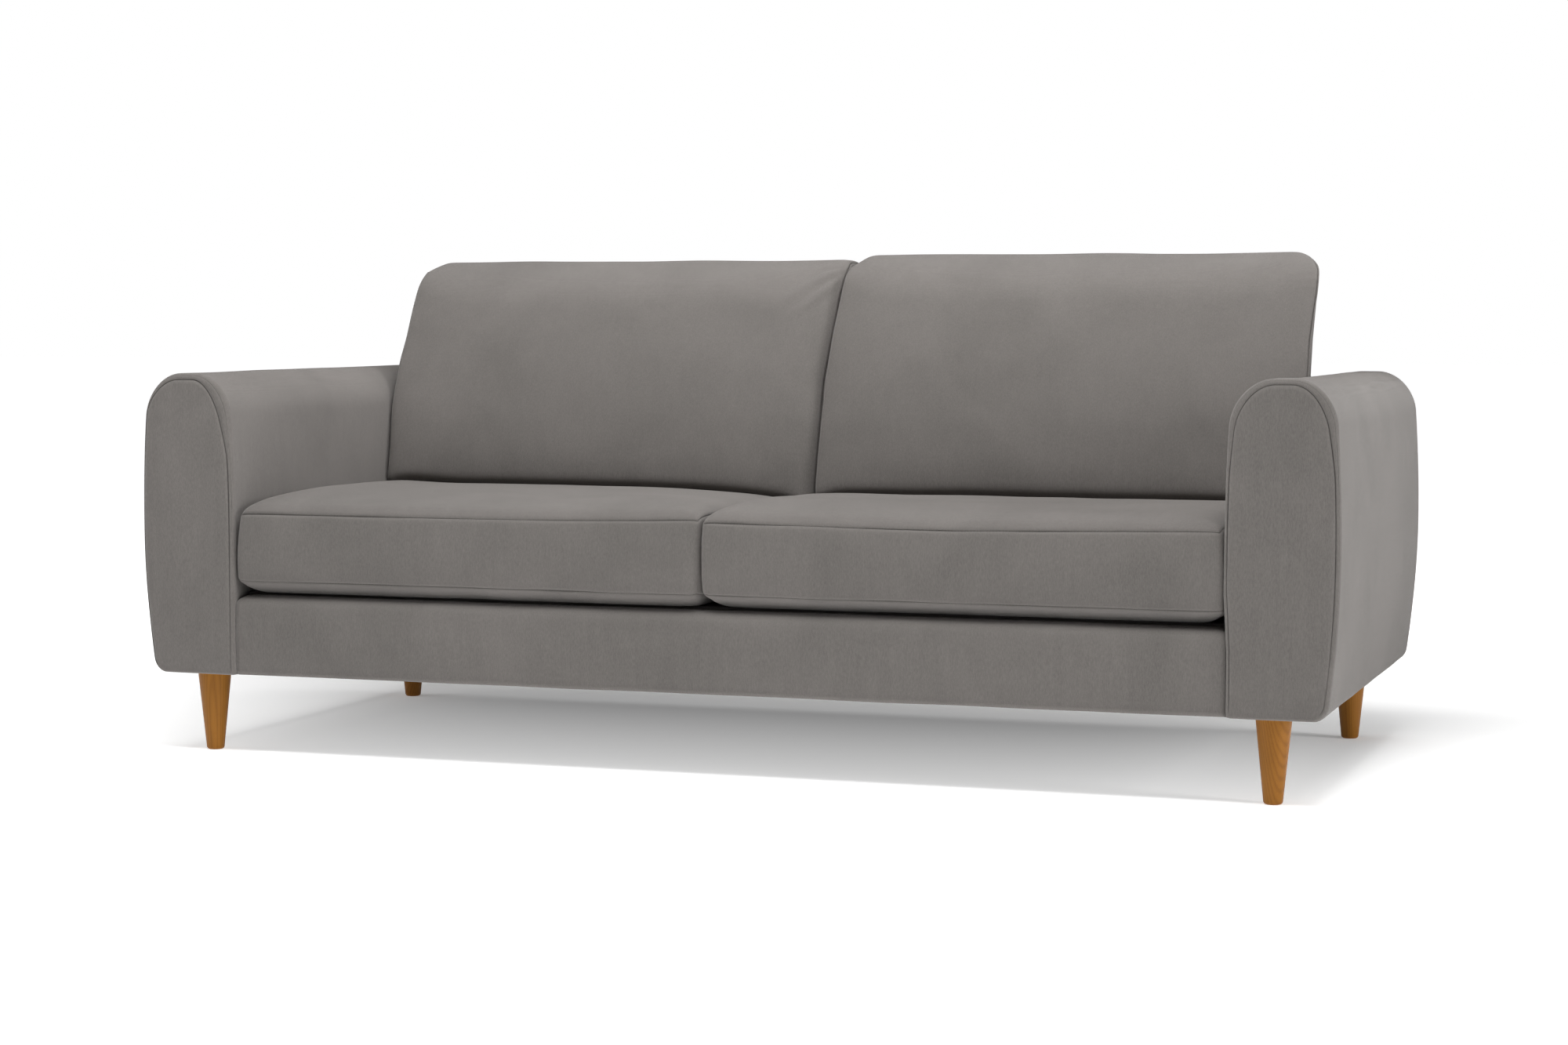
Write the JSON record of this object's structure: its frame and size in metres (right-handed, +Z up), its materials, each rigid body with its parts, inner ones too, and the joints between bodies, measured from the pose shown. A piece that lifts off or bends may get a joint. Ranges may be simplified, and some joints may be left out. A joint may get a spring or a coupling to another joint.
{
  "type": "sofa with wooden legs",
  "caption": "Upholstered sofa with arched arms, loose crowned seat cushions, leaning back cushions and tapered round wooden legs.",
  "frame": {"origin": "on the floor under the middle of the sofa", "axes": "+X to the right seen from the front, +Y to the back, +Z up; the front faces -Y"},
  "size_m": [2.0898, 0.908, 0.868],
  "materials": {
    "upholstery": "soft brushed weave, warm grey",
    "leg_oak": "satin lacquered oak",
    "timber": "sawn, unfinished",
    "foam": "open foam and wadding",
    "webbing": "woven elastic",
    "lining": "plain lining cloth",
    "steel": "plain steel"
  },
  "bodies": {
    "frame": {"arm_bottom_board_left": "timber", "arm_bottom_board_right": "timber", "arm_cover_left": "upholstery", "arm_cover_right": "upholstery", "arm_front_panel_left": "upholstery", "arm_front_panel_right": "upholstery", "arm_front_profile_left": "timber", "arm_front_profile_right": "timber", "arm_inner_panel_left": "timber", "arm_inner_panel_right": "timber", "arm_outer_panel_left": "timber", "arm_outer_panel_right": "timber", "arm_padding_left": "foam", "arm_padding_right": "foam", "arm_rear_profile_left": "timber", "arm_rear_profile_right": "timber", "arm_top_rail_left": "timber", "arm_top_rail_right": "timber", "back_padding": "foam", "back_post_centre": "timber", "back_post_left": "timber", "back_post_right": "timber", "back_top_rail": "timber", "back_webbing": "webbing", "centre_rail": "timber", "corner_blocks": "timber", "deck_cover": "lining", "deck_pad": "foam", "dust_cover": "lining", "front_rail": "timber", "front_rail_cover": "upholstery", "front_rail_pad": "foam", "inside_back_cover": "upholstery", "leg_front_left": "leg_oak", "leg_front_right": "leg_oak", "leg_rear_left": "leg_oak", "leg_rear_right": "leg_oak", "leg_studs": "steel", "outside_back_cover": "upholstery", "rear_rail": "timber", "seat_webbing": "webbing", "side_rail_left": "timber", "side_rail_right": "timber"},
    "seat_cushion_left": {"seat_cushion_core_left": "foam", "seat_cushion_cover_left": "upholstery"},
    "seat_cushion_right": {"seat_cushion_core_right": "foam", "seat_cushion_cover_right": "upholstery"},
    "back_cushion_left": {"back_cushion_core_left": "foam", "back_cushion_cover_left": "upholstery"},
    "back_cushion_right": {"back_cushion_core_right": "foam", "back_cushion_cover_right": "upholstery"}
  },
  "joints": [
    {"name": "seat_cushion_left_pull", "type": "slide", "parent": "frame", "child": "seat_cushion_left", "axis": [0, -1, 0], "range_m": [0, 0.85]},
    {"name": "seat_cushion_right_pull", "type": "slide", "parent": "frame", "child": "seat_cushion_right", "axis": [0, -1, 0], "range_m": [0, 0.85]},
    {"name": "back_cushion_left_lift", "type": "slide", "parent": "frame", "child": "back_cushion_left", "axis": [0, 0.0993, 0.9951], "range_m": [0, 0.5]},
    {"name": "back_cushion_right_lift", "type": "slide", "parent": "frame", "child": "back_cushion_right", "axis": [0, 0.0993, 0.9951], "range_m": [0, 0.5]}
  ]
}
